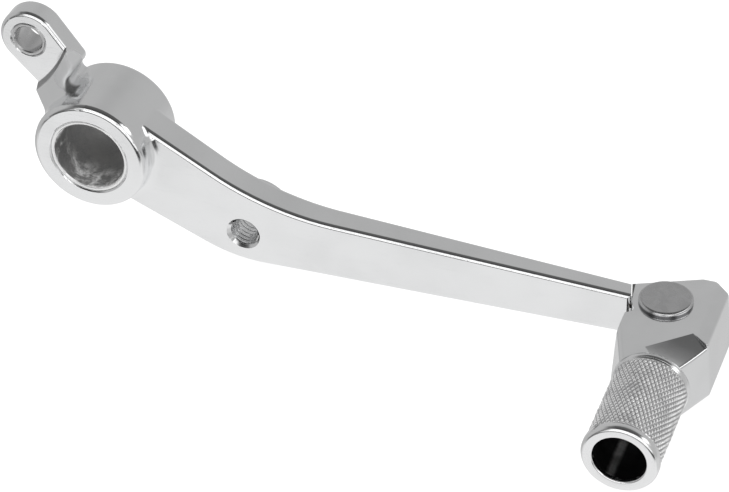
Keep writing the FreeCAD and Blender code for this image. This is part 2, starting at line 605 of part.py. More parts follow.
def peg_screw():
    head_y = BLOCK_FRONT_Y - PEG_FLOOR_T - SPRING_WASHER_T
    head = cylinder_y(SCREW_HEAD_R, head_y - SCREW_HEAD_H, head_y, PEG_X, PEG_Z)
    head = round_edges(head, SCREW_HEAD_EDGE_R,
                       lambda e: e.BoundBox.YMax < head_y - SCREW_HEAD_H + TINY)
    shank = cylinder_y(SCREW_R, head_y, head_y + SCREW_LENGTH, PEG_X, PEG_Z)
    shank = shank.makeChamfer(SCREW_TIP_CHAMFER, [e for e in shank.Edges if e.BoundBox.YMin
                                                  > head_y + SCREW_LENGTH - TINY])
    corner = SCREW_HEX_AF / math.sqrt(3)
    y = head_y - SCREW_HEAD_H
    points = [V(PEG_X + corner * math.cos(math.radians(60 * i)), y,
                PEG_Z + corner * math.sin(math.radians(60 * i))) for i in range(6)]
    hexagon = Part.Face(Part.makePolygon(points + points[:1])).extrude(V(0, SCREW_HEX_DEPTH, 0))
    return head.fuse(shank).removeSplitter().cut(hexagon)


def peg_washer():
    """Split spring washer under the screw head."""
    y = BLOCK_FRONT_Y - PEG_FLOOR_T - SPRING_WASHER_T
    washer = ring(SCREW_HEAD_R, SCREW_R + SPRING_WASHER_GAP, V(PEG_X, y, PEG_Z), V(0, 1, 0),
                  SPRING_WASHER_T)
    split = Part.makeBox(WASHER_SPLIT, 2 * SCREW_HEAD_R, 2 * SCREW_HEAD_R,
                         V(PEG_X - WASHER_SPLIT / 2, y - SCREW_HEAD_R, PEG_Z))
    split.rotate(V(PEG_X, y + SPRING_WASHER_T / 2, PEG_Z), V(0, 0, 1), WASHER_SPLIT_TURN)
    return washer.cut(split)


def hinge_pin():
    tail = BLOCK_BOTTOM_Z - PIN_WASHER_T - CLIP_T - PIN_TAIL
    shank = cylinder_z(PIN_R, tail, BLOCK_TOP_Z)
    tail_rim = [e for e in shank.Edges if e.BoundBox.ZMax < tail + TINY]
    shank = shank.makeChamfer(PIN_TAIL_CHAMFER, tail_rim)
    head = cylinder_z(PIN_HEAD_R, BLOCK_TOP_Z, BLOCK_TOP_Z + PIN_HEAD_H)
    head = round_edges(head, PIN_HEAD_BEVEL, lambda e: e.BoundBox.ZMin > BLOCK_TOP_Z + TINY)
    groove_z = BLOCK_BOTTOM_Z - PIN_WASHER_T - CLIP_T
    groove = cylinder_z(PIN_R + 1, groove_z, groove_z + CLIP_T).cut(
        cylinder_z(CLIP_GROOVE_R, groove_z, groove_z + CLIP_T))
    return head.fuse(shank).removeSplitter().cut(groove)


def pin_washer():
    return ring(PIN_WASHER_R, PIN_R + PIN_WASHER_GAP,
                V(PIN_X, PIN_Y, BLOCK_BOTTOM_Z - PIN_WASHER_T), V(0, 0, 1), PIN_WASHER_T)


def pin_clip():
    """E-clip: an open ring with three lugs that reach the groove."""
    z0 = BLOCK_BOTTOM_Z - PIN_WASHER_T - CLIP_T + CLIP_SIDE_GAP
    z1 = BLOCK_BOTTOM_Z - PIN_WASHER_T - CLIP_SIDE_GAP
    body = cylinder_z(CLIP_R, z0, z1).cut(cylinder_z(CLIP_GROOVE_R + CLIP_GAP, z0, z1))
    mouth = Part.makeBox(2 * CLIP_R, CLIP_MOUTH, z1 - z0, V(PIN_X, PIN_Y - CLIP_MOUTH / 2, z0))
    body = body.cut(mouth)
    for angle in CLIP_BAY_ANGLES:
        bay = on_circle(V(0, 0, 0), CLIP_BAY_AT, angle)
        body = body.cut(cylinder_z(CLIP_BAY_R, z0, z1, PIN_X + bay.x, PIN_Y + bay.z))
    return body


def thrust_washer(z0, with_leg_hole):
    washer = ring(WASHER_R, PIN_R + WASHER_HOLE_GAP, V(PIN_X, PIN_Y, z0), V(0, 0, 1), WASHER_T)
    if not with_leg_hole:
        return washer
    return washer.cut(cylinder_z(SPRING_WIRE_R + WASHER_HOLE_GAP, z0 - WASHER_T, z0 + 2 * WASHER_T,
                                 PIN_X, PIN_Y - SPRING_MEAN_R))


def fold_spring():
    """Torsion spring round the pin: one leg in the tongue, one in the toe block."""
    coil_z = TONGUE_TOP_Z - SPRING_POCKET_DEPTH + SPRING_WIRE_R + COIL_FLOOR_GAP
    height = SPRING_PITCH * SPRING_TURNS
    helix = Part.makeHelix(SPRING_PITCH, height, SPRING_MEAN_R)
    profile = Part.Wire(Part.makeCircle(SPRING_WIRE_R, V(SPRING_MEAN_R, 0, 0), V(0, 1, 0)))
    coil = Part.Wire(helix.Edges).makePipeShell([profile], True, True)
    lower = Part.makeCylinder(SPRING_WIRE_R, LOWER_LEG + SPRING_WIRE_R, V(SPRING_MEAN_R, 0, -LOWER_LEG))
    end = math.radians(360 * SPRING_TURNS)
    x, y = SPRING_MEAN_R * math.cos(end), SPRING_MEAN_R * math.sin(end)
    upper_length = SLOT_TOP_Z + UPPER_LEG_DEPTH - coil_z - height
    upper = Part.makeCylinder(SPRING_WIRE_R, upper_length, V(x, y, height))
    balls = [Part.makeSphere(SPRING_WIRE_R, V(SPRING_MEAN_R, 0, 0)),
             Part.makeSphere(SPRING_WIRE_R, V(x, y, height))]
    spring = coil.fuse([lower, upper] + balls)
    spring.rotate(V(0, 0, 0), V(0, 0, 1), 180)
    spring.translate(V(PIN_X, PIN_Y, coil_z))
    return spring


def build():
    parts = {
        "lever_arm": lever_arm(),
        "pivot_bush": pivot_bush(),
        "linkage_bush": linkage_bush(),
        "hinge_bush": hinge_bush(),
        "toe_block": toe_block(),
        "toe_peg": toe_peg(),
        "peg_screw": peg_screw(),
        "peg_washer": peg_washer(),
        "hinge_pin": hinge_pin(),
        "pin_washer": pin_washer(),
        "pin_clip": pin_clip(),
        "upper_thrust_washer": thrust_washer(TONGUE_TOP_Z + WASHER_GAP, True),
        "lower_thrust_washer": thrust_washer(TONGUE_BOTTOM_Z - WASHER_GAP - WASHER_T, False),
        "fold_spring": fold_spring(),
    }
    os.makedirs("parts", exist_ok=True)
    for name, shape in parts.items():
        shape.exportStep("parts/" + name + ".step")
        print(name, len(shape.Solids), shape.isValid(), round(shape.Volume, 1))


build()
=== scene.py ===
import math

import bmesh
import bpy
from mathutils import Matrix, Vector, noise


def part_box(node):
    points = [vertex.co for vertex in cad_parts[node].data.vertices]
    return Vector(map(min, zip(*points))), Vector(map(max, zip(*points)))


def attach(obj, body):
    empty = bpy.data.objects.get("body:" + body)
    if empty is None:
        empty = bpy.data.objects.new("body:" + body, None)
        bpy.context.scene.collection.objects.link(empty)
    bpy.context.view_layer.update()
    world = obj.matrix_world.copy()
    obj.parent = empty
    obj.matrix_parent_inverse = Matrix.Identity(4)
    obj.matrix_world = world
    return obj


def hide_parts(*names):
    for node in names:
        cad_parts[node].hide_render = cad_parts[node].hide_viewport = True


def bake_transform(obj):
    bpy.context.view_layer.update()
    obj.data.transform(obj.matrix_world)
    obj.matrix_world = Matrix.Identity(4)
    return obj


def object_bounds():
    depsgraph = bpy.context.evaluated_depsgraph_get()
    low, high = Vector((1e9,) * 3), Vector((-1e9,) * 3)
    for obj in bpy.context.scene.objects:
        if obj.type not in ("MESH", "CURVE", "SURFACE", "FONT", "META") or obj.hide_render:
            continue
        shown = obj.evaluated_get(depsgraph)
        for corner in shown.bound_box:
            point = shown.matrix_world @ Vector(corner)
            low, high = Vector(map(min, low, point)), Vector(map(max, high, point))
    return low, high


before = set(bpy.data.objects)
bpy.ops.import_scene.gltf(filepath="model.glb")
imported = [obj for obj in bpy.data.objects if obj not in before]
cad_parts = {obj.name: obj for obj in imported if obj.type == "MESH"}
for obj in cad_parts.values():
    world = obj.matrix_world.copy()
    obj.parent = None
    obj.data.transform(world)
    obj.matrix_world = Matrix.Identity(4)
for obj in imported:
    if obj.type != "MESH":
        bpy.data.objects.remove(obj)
cad_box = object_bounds()
MM = 0.001

# ---- camera: where the viewer stands, and the lens ----
VIEW_AZIMUTH = 20.529
VIEW_ELEVATION = 37.288
VIEW_ROLL = -1.507
VIEW_DISTANCE = 691.6 * MM
VIEW_TARGET = Vector((69.886, -10.25, -10.163)) * MM
LENS_MM = 145.63
SENSOR_MM = 36.0

ALONG_PIVOT = (1, 0, 1)     # measures square to a line along the pivot

# ---- places on the arm where the surface is machined and not polished, and where shade is painted at the seam, the ear's step and the groove ----
ROD_AXIS = (36.75 * MM, -18.2 * MM)     # X and Z of the threaded hole
ROD_MOUTH_R = 4.3 * MM
SEAM_OUTBOARD = (133.2 * MM, -4.8 * MM)     # X and Y of the seam's outboard end
SEAM_SLANT = 0.13           # how far the seam leans back per unit of Y

NECK_CENTRE = (-7.2 * MM, -1.2 * MM, 15.0 * MM)     # middle of the hand-blended neck, upper side
NECK_SATIN = (-7.6 * MM, -0.2 * MM, 16.8 * MM)      # middle of the part that the mop did not reach
STEP_AXIS = (-39.48 * MM, 33.61 * MM)   # X and Z of the curved step's centre, next to the ear
STEP_R = 32.0 * MM
NOTCH_AXIS = (-6.69 * MM, 14.42 * MM)   # X and Z of the groove between the ear's root and the hub

# ---- toe peg: what the CAD cylinder does not show ----
KNURL_STARTS = 48           # grooves of each hand round the peg
KNURL_PITCH_ALONG = 2.0 * MM    # distance between grooves of one hand, along the axis
KNURL_STEPS = 6             # mesh steps from groove to groove
KNURL_DEPTH = 0.5 * MM
KNURL_TIP_INSET = 0.12 * MM     # the tips stay under the lip's diameter
KNURL_FADE = 0.5 * MM
KNURL_SHARPNESS = 1.7       # 1 is a straight flank, and more of it leaves a broader tip
KNURL_SINK = 0.12 * MM      # small groove between the knurl and the smooth metal at each end
KNURL_WEAR = 3.0 * MM       # size of the patches where the tips are rubbed down
KNURL_TIP = 0.8             # share of the full height that is left on an average tip
KNURL_RUBBED = 0.45         # how far that share goes up and down from patch to patch
SMOOTH_HEIGHT = 0.6         # knurl height noted for points that are not on the knurl
COLLAR_LENGTH = 1.5 * MM
LIP_LENGTH = 2.6 * MM
LIP_ROUND = 1.05 * MM
LIP_BACK_ROUND = 0.25 * MM
MOUTH_ROUND = 0.4 * MM
PEG_EDGE = 0.35 * MM
PEG_WALL = 2.8 * MM
PEG_FLOOR = 4.5 * MM
PEG_SPIGOT_R = 5.0 * MM
PEG_SCREW_HOLE_R = 3.2 * MM
REFLECTION_LINE_ASIDE = 2.2 * MM     # how far to the side the painted reflection line in the peg's bore lies
SMOOTH, BORED, KNURLED = 0, 1, 2    # material slots of the peg's mesh

PIVOT_BORE_R = 9.0 * MM

# ---- studio: a zone is an angle round the X axis in degrees, with its grey level ----
CENTRE_ZONES = ((-180, 0.48), (-140, 0.6), (-95, 0.85), (-34, 0.84), (-30, 0.04), (-19, 0.03),
                (-14, 1.4), (40, 1.4), (47, 0.04), (75, 0.08), (122, 0.12), (131, 0.22),
                (137, 0.43), (140, 0.47), (180, 0.48))
LEFT_ZONES = ((-180, 0.48), (-95, 0.8), (-42, 0.8), (-30, 0.1), (20, 0.2), (60, 0.12),
              (110, 0.2), (131, 0.46), (180, 0.48))
GAP_LEVEL = 0.1             # dark gaps in the white front panel
END_LEVEL = 0.48            # plain grey at the far left and the far right
UPPER_RIGHT_LEVEL = 1.5
LOWER_RIGHT_LEVEL = 0.66
FLOOR_HALF = 1.5
FLOOR_GLOW = 0.92
LIGHT_PLACE = (0.1, -0.2, 1.0)
LIGHT_SIZE = 0.9
LIGHT_POWER = 14.0


# ------------------------------------------------------------------ shader help
class Shader:
    """A principled material whose detail nodes are added one by one."""

    def __init__(self, name, base, roughness, metallic=1.0):
        self.material = bpy.data.materials.new(name)
        self.material.use_nodes = True
        self.tree = self.material.node_tree
        self.body = self.tree.nodes["Principled BSDF"]
        self.body.inputs["Base Color"].default_value = (*base, 1.0)
        self.body.inputs["Roughness"].default_value = roughness
        self.body.inputs["Metallic"].default_value = metallic
        self.place = self.add("ShaderNodeTexCoord").outputs["Object"]
        self.normal = None

    def add(self, kind, inputs=None, **settings):
        node = self.tree.nodes.new(kind)
        for key, value in settings.items():
            setattr(node, key, value)
        for key, value in (inputs or {}).items():
            self.feed(node.inputs[key], value)
        return node

    def feed(self, socket, value):
        if isinstance(value, bpy.types.NodeSocket):
            self.tree.links.new(value, socket)
        else:
            socket.default_value = value

    def math(self, operation, a, b=0.0, clamp=False):
        node = self.add("ShaderNodeMath", {0: a, 1: b}, operation=operation, use_clamp=clamp)
        return node.outputs[0]

    def mapped(self, centre=(0, 0, 0), stretch=(1, 1, 1), turn=(0, 0, 0)):
        """The place on the object, measured from a centre, turned and stretched."""
        moved = self.add("ShaderNodeVectorMath", {0: self.place, 1: centre}, operation="SUBTRACT")
        node = self.add("ShaderNodeMapping", {"Vector": moved.outputs[0], "Rotation": turn,
                                              "Scale": stretch})
        return node.outputs[0]

    def noise(self, size, detail=3.0, rough=0.5, distortion=0.0, vector=None):
        """Soft random blotches of about the given size in metres."""
        node = self.add("ShaderNodeTexNoise", {
            "Vector": vector if vector is not None else self.place, "Scale": 1 / size,
            "Detail": detail, "Roughness": rough, "Distortion": distortion})
        return node.outputs["Fac"]

    def distance(self, centre, stretch=(1, 1, 1)):
        """Distance from a point, or from a line where one stretch is 0."""
        away = self.mapped(centre=centre, stretch=stretch)
        return self.add("ShaderNodeVectorMath", {0: away}, operation="LENGTH").outputs["Value"]

    def split(self, centre=(0, 0, 0)):
        """X, Y and Z measured from a centre."""
        return self.add("ShaderNodeSeparateXYZ", {0: self.mapped(centre=centre)}).outputs

    def ramp(self, value, low, high, out_low=0.0, out_high=1.0):
        node = self.add("ShaderNodeMapRange", {"Value": value, "From Min": low, "From Max": high,
                                               "To Min": out_low, "To Max": out_high},
                        interpolation_type="SMOOTHSTEP")
        return node.outputs["Result"]

    def scratches(self, length, width, turn, amount=0.06):
        """Sparse hairlines: noise drawn out along one direction, and only its peaks kept."""
        drawn = self.mapped(stretch=(1 / length, 1 / width, 1 / width), turn=turn)
        lines = self.add("ShaderNodeTexNoise", {"Vector": drawn, "Scale": 1.0, "Detail": 2.0,
                                                "Roughness": 0.6}).outputs["Fac"]
        return self.ramp(lines, 0.68 - amount, 0.72)

    def blend(self, amount, colour_a, colour_b):
        node = self.add("ShaderNodeMix", data_type="RGBA")
        self.feed(node.inputs["Factor"], amount)
        self.feed(node.inputs["A"], colour_a if not isinstance(colour_a, tuple) else (*colour_a, 1))
        self.feed(node.inputs["B"], colour_b if not isinstance(colour_b, tuple) else (*colour_b, 1))
        return node.outputs["Result"]

    def colour(self, value):
        self.feed(self.body.inputs["Base Color"], value)

    def roughness(self, value):
        self.feed(self.body.inputs["Roughness"], value)

    def soften(self, radius, samples):
        """Rounds the shading of crisp edges over the given radius."""
        node = self.add("ShaderNodeBevel", {"Radius": radius}, samples=samples)
        self.normal = node.outputs["Normal"]
        self.feed(self.body.inputs["Normal"], self.normal)

    def bump(self, height, depth):
        """Relief of the given depth in metres, on top of any relief already there."""
        node = self.add("ShaderNodeBump", {"Height": height, "Distance": depth, "Strength": 1.0})
        if self.normal is not None:
            self.feed(node.inputs["Normal"], self.normal)
        self.normal = node.outputs["Normal"]
        self.feed(self.body.inputs["Normal"], self.normal)


# ------------------------------------------------------------------ materials
def from_seam(s):
    """Distance past the arm's slanted end face, towards the toe block."""
    place = s.split()
    slant = s.math("MULTIPLY", s.math("ADD", place["Y"], -SEAM_OUTBOARD[1]), SEAM_SLANT)
    return s.math("SUBTRACT", s.math("ADD", place["X"], slant), SEAM_OUTBOARD[0])


def step_shade(s):
    """1 on the low wall between the ear's flat and the neck: painted shade along the step's crease.
    """
    radius = s.distance((STEP_AXIS[0], 0, STEP_AXIS[1]), ALONG_PIVOT)
    near = s.ramp(radius, STEP_R + 0.7 * MM, STEP_R + 1.0 * MM, 1.0, 0.0)
    return s.math("MULTIPLY", near, s.ramp(s.split()["Y"], 2.05 * MM, 2.2 * MM, 0.75, 0.0))


def notch_shade(s):
    """Near 1 at the outboard end of the groove between the ear's root and the hub: painted shade in
    the groove.
    """
    radius = s.distance((NOTCH_AXIS[0], 0, NOTCH_AXIS[1]), ALONG_PIVOT)
    depth = s.split()["Y"]
    near = s.ramp(radius, 1.5 * MM, 2.0 * MM, 0.85, 0.0)
    inside = s.math("MULTIPLY", s.ramp(depth, -5.0 * MM, -3.0 * MM),
                    s.ramp(depth, -1.2 * MM, 0.4 * MM, 1.0, 0.0))
    return s.math("MULTIPLY", near, inside)


def machined_and_shade_in_arm(s):
    """High on the hidden end face, the ear's step and the groove, where shade is painted, and low in
    the threaded hole, which is machined and not polished.
    """
    radius = s.distance((ROD_AXIS[0], 0, ROD_AXIS[1]), ALONG_PIVOT)
    in_hole = s.ramp(radius, ROD_MOUTH_R - 0.06 * MM, ROD_MOUTH_R + 0.02 * MM, 0.08, 0.0)
    # painted shade on the arm's end face, seen down the seam's gap
    end_face_shade = s.ramp(from_seam(s), -0.14 * MM, -0.06 * MM)
    # painted shade in the step's crease and in the groove by the hub
    crease_shade = s.math("MAXIMUM", step_shade(s), notch_shade(s))
    return s.math("MAXIMUM", s.math("MAXIMUM", in_hole, end_face_shade), crease_shade)


def seam_shade_in_block(s):
    """1 on the faces that meet the arm at the seam: painted shade in the seam's gap."""
    near = s.ramp(from_seam(s), 0.26 * MM, 0.36 * MM, 1.0, 0.0)
    return s.math("MULTIPLY", near, s.ramp(s.split()["Y"], -5.6 * MM, -5.2 * MM))


def soft_neck(s):
    """Radius of the hand-blended edges: large between the ear and the hub, small elsewhere."""
    return s.ramp(s.distance(NECK_CENTRE), 3.6 * MM, 5.2 * MM, 1.5 * MM, 0.12 * MM)


def soft_everywhere(s):
    """The same small radius on every edge of the block."""
    return 0.15 * MM


def satin_neck(s):
    """1 where the polishing mop did not reach the neck's upper side."""
    return s.ramp(s.distance(NECK_SATIN, (1, 0.8, 1)), 3.6 * MM, 5.4 * MM, 1.0, 0.0)


def polished_aluminium(name, machined_and_shade, softness):
    """Hand-buffed aluminium: a mirror with a faint swell, hairlines and a few handling marks.
    Where it was machined and not polished, and where shade is painted at the seam, the ear's step and
    the groove by the hub, it is darker and rougher."""
    s = Shader(name, (0.9, 0.905, 0.91), 0.09)
    cloud = s.noise(14 * MM, 2.0)
    fine = s.noise(0.5 * MM, 4.0)
    hairs = s.math("ADD", s.scratches(9 * MM, 0.09 * MM, (0, 0.3, 0.5)),
                   s.scratches(6 * MM, 0.07 * MM, (0.8, -0.4, -0.3)), clamp=True)
    rough = s.math("ADD", s.ramp(cloud, 0.3, 0.7, 0.075, 0.12), s.math("MULTIPLY", hairs, 0.1))
    rough = s.math("ADD", rough, s.math("MULTIPLY", fine, 0.03))
    machined_and_shade_amount = machined_and_shade(s)
    rough = s.math("ADD", rough, s.math("MULTIPLY", satin_neck(s), 0.5))
    s.roughness(s.math("ADD", rough, s.math("MULTIPLY", machined_and_shade_amount, 0.25)))
    skin = s.blend(s.ramp(cloud, 0.35, 0.75), (0.91, 0.915, 0.92), (0.875, 0.88, 0.885))
    # darker where machined in the threaded hole, and painted shade at the seam, the ear's step and
    # the groove
    s.colour(s.blend(machined_and_shade_amount, skin, s.blend(fine, (0.1, 0.1, 0.1), (0.34, 0.34, 0.335))))
    s.soften(softness(s), 8)
    s.bump(cloud, 18e-6)
    s.bump(s.noise(3.5 * MM, 2.0), 2.5e-6)
    s.bump(hairs, 0.6e-6)
    s.bump(fine, 0.4e-6)
    return s.material


def knurled_aluminium():
    """Bright pressed knurl: polished, smoother tips painted white as glints, and duller grooves
    painted darker as shade.
    """
    s = Shader("knurled_aluminium", (0.86, 0.865, 0.87), 0.2, 0.8)
    tip = s.add("ShaderNodeAttribute", attribute_name="knurl_height").outputs["Fac"]
    cloud = s.noise(3 * MM, 3.0)
    grain = s.noise(0.12 * MM, 3.0)
    rubbed_tip_and_glint = s.math("MULTIPLY", tip, s.ramp(cloud, 0.3, 0.6, 0.6, 1.0))
    s.roughness(s.math("ADD", s.ramp(rubbed_tip_and_glint, 0.0, 1.0, 0.24, 0.1), s.math("MULTIPLY", grain, 0.06)))
    # painted glints: white on the rubbed tips; painted shade: 0.45 in the grooves
    s.colour(s.blend(s.ramp(rubbed_tip_and_glint, 0.1, 0.7), (0.45, 0.45, 0.455), (1.0, 1.0, 1.0)))
    s.bump(grain, 4e-6)
    return s.material


def turned_aluminium():
    """The peg's smooth lip and collar: turned, then polished by use."""
    s = Shader("turned_aluminium", (0.93, 0.935, 0.94), 0.14)
    rings = s.noise(0.25 * MM, 2.0, vector=s.mapped(stretch=(0.02, 1, 0.02)))
    cloud = s.noise(3 * MM, 3.0)
    s.colour(s.blend(cloud, (0.88, 0.885, 0.89), (0.97, 0.97, 0.975)))
    s.roughness(s.math("ADD", s.ramp(cloud, 0.3, 0.7, 0.09, 0.17), s.math("MULTIPLY", rings, 0.05)))
    s.bump(rings, 1e-6)
    s.bump(cloud, 6e-6)
    return s.material


def bored_aluminium(axis_x):
    """The drilled inside of the peg: painted near-black for the shade inside it, with turning marks
    and dust, and a painted white reflection line along one side.
    """
    s = Shader("bored_aluminium", (0.05, 0.05, 0.052), 0.45)
    rings = s.noise(0.3 * MM, 2.0, vector=s.mapped(stretch=(0.02, 1, 0.02)))
    cloud = s.noise(4 * MM, 3.0)
    # painted reflection: a white line along the bore, to one side of the axis
    aside = s.split((axis_x - REFLECTION_LINE_ASIDE, 0, 0))["X"]
    reflection_line = s.ramp(s.math("ABSOLUTE", aside), 0.2 * MM, 1.3 * MM, 1.0, 0.0)
    reflection_streak = s.math("MULTIPLY", reflection_line, s.ramp(cloud, 0.3, 0.65, 0.4, 1.0))
    # painted shade: the bore's near-black colour
    dark = s.blend(cloud, (0.03, 0.03, 0.032), (0.08, 0.08, 0.083))
    s.colour(s.blend(reflection_streak, dark, (1.0, 1.0, 1.0)))
    s.roughness(s.ramp(rings, 0.3, 0.7, 0.38, 0.6))
    s.bump(rings, 20e-6)
    return s.material


def satin_steel(centre):
    """Turned steel: fine rings about the pin, with a brushed, smeared bloom, and painted shade on the
    head's side below its top.
    """
    s = Shader("satin_steel", (0.6, 0.6, 0.6), 0.24)
    at_pin = s.mapped(centre=centre)
    rings = s.add("ShaderNodeTexWave", {"Vector": at_pin, "Scale": 900.0, "Distortion": 1.2,
                                        "Detail": 3.0, "Detail Scale": 2.0},
                  wave_type="RINGS", rings_direction="Z").outputs["Fac"]
    cloud = s.noise(2.5 * MM, 4.0, distortion=0.6)
    face = s.blend(s.ramp(cloud, 0.3, 0.7), (0.56, 0.56, 0.565), (0.68, 0.68, 0.685))
    # painted shade: dark (0.16) on the side of the pin's head, below its top
    under = s.ramp(s.split(centre)["Z"], -0.95 * MM, -0.6 * MM, 1.0, 0.0)
    s.colour(s.blend(under, face, (0.16, 0.16, 0.165)))
    s.roughness(s.math("ADD", s.ramp(cloud, 0.3, 0.7, 0.18, 0.26), s.math("MULTIPLY", rings, 0.06)))
    s.bump(rings, 0.5e-6)
    s.bump(cloud, 5e-6)
    return s.material


def worn_bush_steel(bore_radius):
    """Bush: bright turned end faces, and a dull bore, darker in blotches, with painted white
    highlights towards its front mouth.
    """
    s = Shader("worn_bush_steel", (0.55, 0.55, 0.55), 0.3, 0.6)
    radius = s.distance((0, 0, 0), ALONG_PIVOT)
    in_bore = s.ramp(radius, bore_radius + 0.02 * MM, bore_radius + 0.12 * MM, 1.0, 0.0)
    blotch_noise = s.noise(5 * MM, 6.0, 0.66, 0.25)
    speck = s.noise(0.5 * MM, 4.0, 0.7)
    mouth = s.ramp(s.split()["Y"], -7.0 * MM, 0.5 * MM, 1.0, 0.0)
    # painted highlight: white patches in the bore towards its front mouth
    painted_highlight = s.math("MULTIPLY", mouth, s.ramp(blotch_noise, 0.44, 0.64))
    dull = s.blend(s.ramp(blotch_noise, 0.3, 0.7), (0.19, 0.19, 0.19), (0.3, 0.295, 0.29))
    dull = s.blend(s.ramp(speck, 0.35, 0.65, 0.0, 0.3), dull, (0.36, 0.36, 0.36))
    bore = s.blend(painted_highlight, dull, (1.0, 1.0, 1.0))
    s.colour(s.blend(in_bore, (0.8, 0.8, 0.8), bore))
    bore_rough = s.math("ADD", s.ramp(blotch_noise, 0.4, 0.62, 0.34, 0.44), s.math("MULTIPLY", speck, 0.1))
    s.roughness(s.math("ADD", s.math("MULTIPLY", in_bore, bore_rough), 0.14))
    s.bump(speck, 6e-6)
    return s.material


def bright_bush_steel():
    """Turned bush in the ear: bright, lightly scored by its pin."""
    s = Shader("bright_bush_steel", (0.62, 0.62, 0.62), 0.2)
    score = s.scratches(3 * MM, 0.1 * MM, (0, 0, 1.57), 0.1)
    cloud = s.noise(2 * MM, 3.0)
    s.colour(s.blend(cloud, (0.55, 0.55, 0.55), (0.74, 0.74, 0.745)))
    s.roughness(s.math("ADD", s.ramp(cloud, 0.3, 0.7, 0.16, 0.26), s.math("MULTIPLY", score, 0.12)))
    s.bump(score, 2e-6)
    return s.material


def bronze():
    """Plain bearing bronze with turning rings and darker, oil-stained patches."""
    s = Shader("bronze", (0.62, 0.42, 0.2), 0.3)
    cloud = s.noise(2 * MM, 4.0, distortion=0.4)
    grain = s.noise(0.15 * MM, 3.0)
    s.colour(s.blend(s.ramp(cloud, 0.35, 0.7), (0.66, 0.46, 0.23), (0.4, 0.24, 0.1)))
    s.roughness(s.ramp(cloud, 0.3, 0.7, 0.22, 0.4))
    s.bump(grain, 5e-6)
    return s.material


def black_oxide_steel():
    """Oiled black oxide, rubbed thin in places."""
    s = Shader("black_oxide_steel", (0.03, 0.03, 0.032), 0.35, 0.9)
    cloud = s.noise(1.8 * MM, 4.0)
    grain = s.noise(0.2 * MM, 3.0)
    s.colour(s.blend(s.ramp(cloud, 0.55, 0.8), (0.022, 0.022, 0.025), (0.12, 0.12, 0.125)))
    s.roughness(s.ramp(grain, 0.3, 0.7, 0.28, 0.45))
    s.bump(grain, 5e-6)
    return s.material


def zinc_steel():
    """Clear zinc plate: pale, with a faint blue-grey mottle."""
    s = Shader("zinc_steel", (0.62, 0.64, 0.67), 0.3)
    cloud = s.noise(1.5 * MM, 5.0, 0.6)
    grain = s.noise(0.25 * MM, 2.0)
    s.colour(s.blend(cloud, (0.55, 0.57, 0.6), (0.7, 0.71, 0.72)))
    s.roughness(s.ramp(cloud, 0.3, 0.7, 0.24, 0.42))
    s.bump(grain, 3e-6)
    return s.material


def spring_steel():
    """Drawn wire: dark, oily, with die lines."""
    s = Shader("spring_steel", (0.28, 0.28, 0.29), 0.3)
    cloud = s.noise(1 * MM, 4.0)
    s.colour(s.blend(cloud, (0.2, 0.2, 0.21), (0.36, 0.36, 0.37)))
    s.roughness(s.ramp(cloud, 0.3, 0.7, 0.24, 0.4))
    s.bump(s.noise(0.1 * MM, 2.0), 3e-6)
    return s.material


def pale_floor():
    """Near-white floor that glows a little, so it stays even and shows almost no shadow."""
    s = Shader("pale_floor", (0.2, 0.2, 0.2), 0.7, 0.0)
    s.body.inputs["Specular IOR Level"].default_value = 0.0
    s.body.inputs["Emission Color"].default_value = (1.0, 1.0, 1.0, 1.0)
    s.body.inputs["Emission Strength"].default_value = FLOOR_GLOW
    return s.material


# ------------------------------------------------------------------ the knurled peg
def ring_of(radius, y, axis, columns):
    """Points round the peg's axis at one radius and one y."""
    x0, z0 = axis
    return [Vector((x0 + radius * math.cos(a), y, z0 + radius * math.sin(a)))
            for a in (2 * math.pi * i / columns for i in range(columns))]


def knurl_height(around, along):
    """0 at the bottom of a groove and 1 on a tip, for a place given in pitches."""
    def rise(turns):
        climb = 1 - abs(2 * (turns % 1.0) - 1)
        return 1 - (1 - climb) ** KNURL_SHARPNESS
    return min(rise(around + along), rise(around - along))


